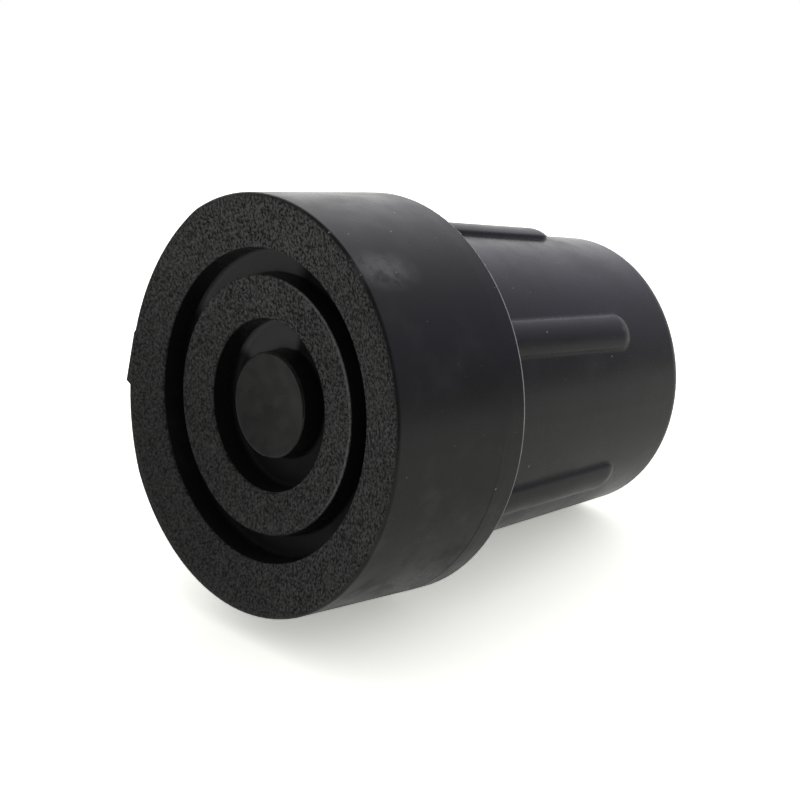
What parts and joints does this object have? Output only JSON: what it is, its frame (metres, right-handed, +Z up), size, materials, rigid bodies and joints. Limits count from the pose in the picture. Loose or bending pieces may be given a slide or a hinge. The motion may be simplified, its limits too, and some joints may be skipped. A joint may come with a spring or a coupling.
{
  "type": "rubber ferrule",
  "caption": "Black rubber ferrule for the foot of a walking stick or crutch: ribbed tapered neck with a blind bore, wide base and a dished tread with ring grooves.",
  "frame": {"origin": "middle of the tread, in the plane of the flat land round its rim that stands on the ground", "axes": "+Z up the axis of the bore, out of its mouth; +X through the middle of one rib"},
  "size_m": [0.0402, 0.0402, 0.0468],
  "materials": {
    "rubber": "satin"
  },
  "bodies": {
    "root": {"ferrule": "rubber"}
  },
  "joints": []
}
